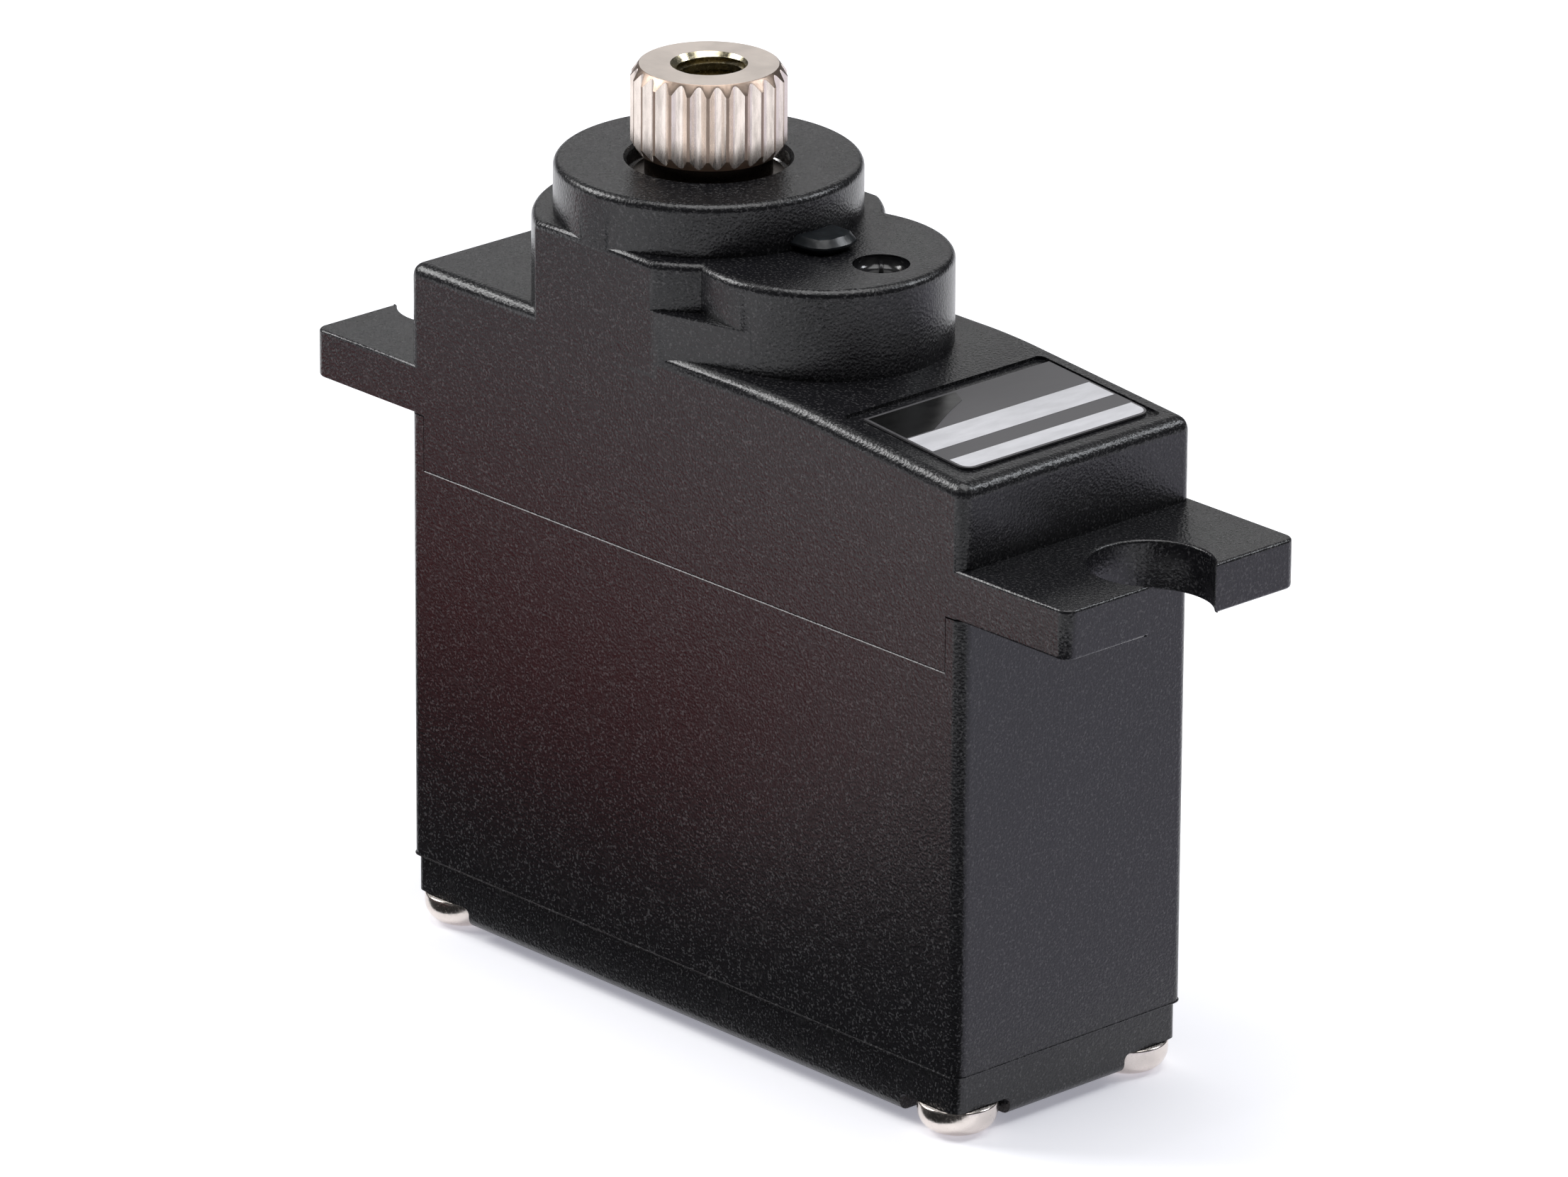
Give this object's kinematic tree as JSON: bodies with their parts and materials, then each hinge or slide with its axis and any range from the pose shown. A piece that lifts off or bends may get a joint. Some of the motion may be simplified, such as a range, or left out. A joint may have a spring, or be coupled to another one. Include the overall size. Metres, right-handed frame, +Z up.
{
  "type": "micro servo motor",
  "caption": "Small rectangular geared positioning motor with a splined output shaft, slotted mounting tabs and a sloped label deck.",
  "frame": {"origin": "centre of the bounding box, at the level of the four screw heads that it stands on", "axes": "+X along the case towards the sloped label end, +Y across it, +Z up along the output shaft"},
  "size_m": [0.0416, 0.0118, 0.036],
  "materials": {
    "black_plastic": "fine spark-eroded grain",
    "grey_plastic": "smooth",
    "white_plastic": "smooth",
    "nickel": "satin plated",
    "steel": "ground",
    "brass": "machined",
    "label_film": "printed film",
    "aluminium": "satin",
    "copper": "enamelled wire",
    "iron": "stamped sheets",
    "magnet": "ground",
    "rubber": "matt",
    "board_green": "lacquered"
  },
  "bodies": {
    "housing": {"top_case": "black_plastic", "middle_case": "black_plastic", "bottom_cover": "black_plastic", "potentiometer_element": "black_plastic", "control_chip": "black_plastic", "driver_chip_1": "black_plastic", "driver_chip_2": "black_plastic", "label": "label_film", "case_screw_1": "nickel", "case_screw_2": "nickel", "case_screw_3": "nickel", "case_screw_4": "nickel", "motor_can": "nickel", "cable_grommet": "rubber", "bearing_outer_ring": "steel", "gear_pin": "steel", "motor_front_bushing": "brass", "motor_rear_bushing": "brass", "brush_terminal_1": "brass", "brush_terminal_2": "brass", "potentiometer_lead_1": "brass", "potentiometer_lead_2": "brass", "potentiometer_lead_3": "brass", "bulk_capacitor": "aluminium", "motor_end_cap": "white_plastic", "potentiometer_housing": "grey_plastic", "chip_capacitor_1": "grey_plastic", "chip_capacitor_2": "grey_plastic", "magnet_1": "magnet", "magnet_2": "magnet", "circuit_board": "board_green"},
    "output": {"output_shaft": "nickel", "bearing_inner_ring": "steel", "potentiometer_shaft": "steel", "potentiometer_wiper": "brass"},
    "third_gear": {"third_gear_wheel": "aluminium", "third_gear_pinion": "steel"},
    "second_gear": {"second_gear_wheel": "brass", "second_gear_pinion": "steel"},
    "first_gear": {"first_gear_wheel": "brass", "first_gear_pinion": "steel"},
    "rotor": {"motor_pinion": "brass", "motor_shaft": "steel", "rotor_core": "iron", "rotor_coil_1": "copper", "rotor_coil_2": "copper", "rotor_coil_3": "copper", "commutator": "copper"},
    "bearing_balls": {"bearing_cage": "brass", "bearing_ball_1": "steel", "bearing_ball_2": "steel", "bearing_ball_3": "steel", "bearing_ball_4": "steel", "bearing_ball_5": "steel", "bearing_ball_6": "steel", "bearing_ball_7": "steel"}
  },
  "joints": [
    {"name": "output_turn", "type": "hinge", "parent": "housing", "child": "output", "pos_m": [-0.00482, 0, 0.025], "axis": [0, 0, 1], "range_deg": [-90, 90]},
    {"name": "third_gear_turn", "type": "hinge", "parent": "housing", "child": "third_gear", "pos_m": [0.00148, 0, 0.025], "axis": [0, 0, 1], "range_deg": [-235, 235]},
    {"name": "second_gear_turn", "type": "hinge", "parent": "housing", "child": "second_gear", "pos_m": [-0.00482, 0, 0.025], "axis": [0, 0, 1], "range_deg": [-660, 660]},
    {"name": "first_gear_turn", "type": "hinge", "parent": "housing", "child": "first_gear", "pos_m": [0.00148, 0, 0.025], "axis": [0, 0, 1], "range_deg": [-1859, 1859]},
    {"name": "rotor_turn", "type": "hinge", "parent": "housing", "child": "rotor", "pos_m": [0.00723, 0, 0.025], "axis": [0, 0, 1], "range_deg": [-7641, 7641]},
    {"name": "bearing_balls_turn", "type": "hinge", "parent": "housing", "child": "bearing_balls", "pos_m": [-0.00482, 0, 0.025], "axis": [0, 0, 1], "range_deg": [-39, 39]}
  ],
  "couplings": [
    {"joint": "third_gear_turn", "follows": "output_turn", "ratio": -2.6},
    {"joint": "second_gear_turn", "follows": "output_turn", "ratio": 7.3273},
    {"joint": "first_gear_turn", "follows": "output_turn", "ratio": -20.65},
    {"joint": "rotor_turn", "follows": "output_turn", "ratio": 84.893},
    {"joint": "bearing_balls_turn", "follows": "output_turn", "ratio": 0.4275}
  ]
}
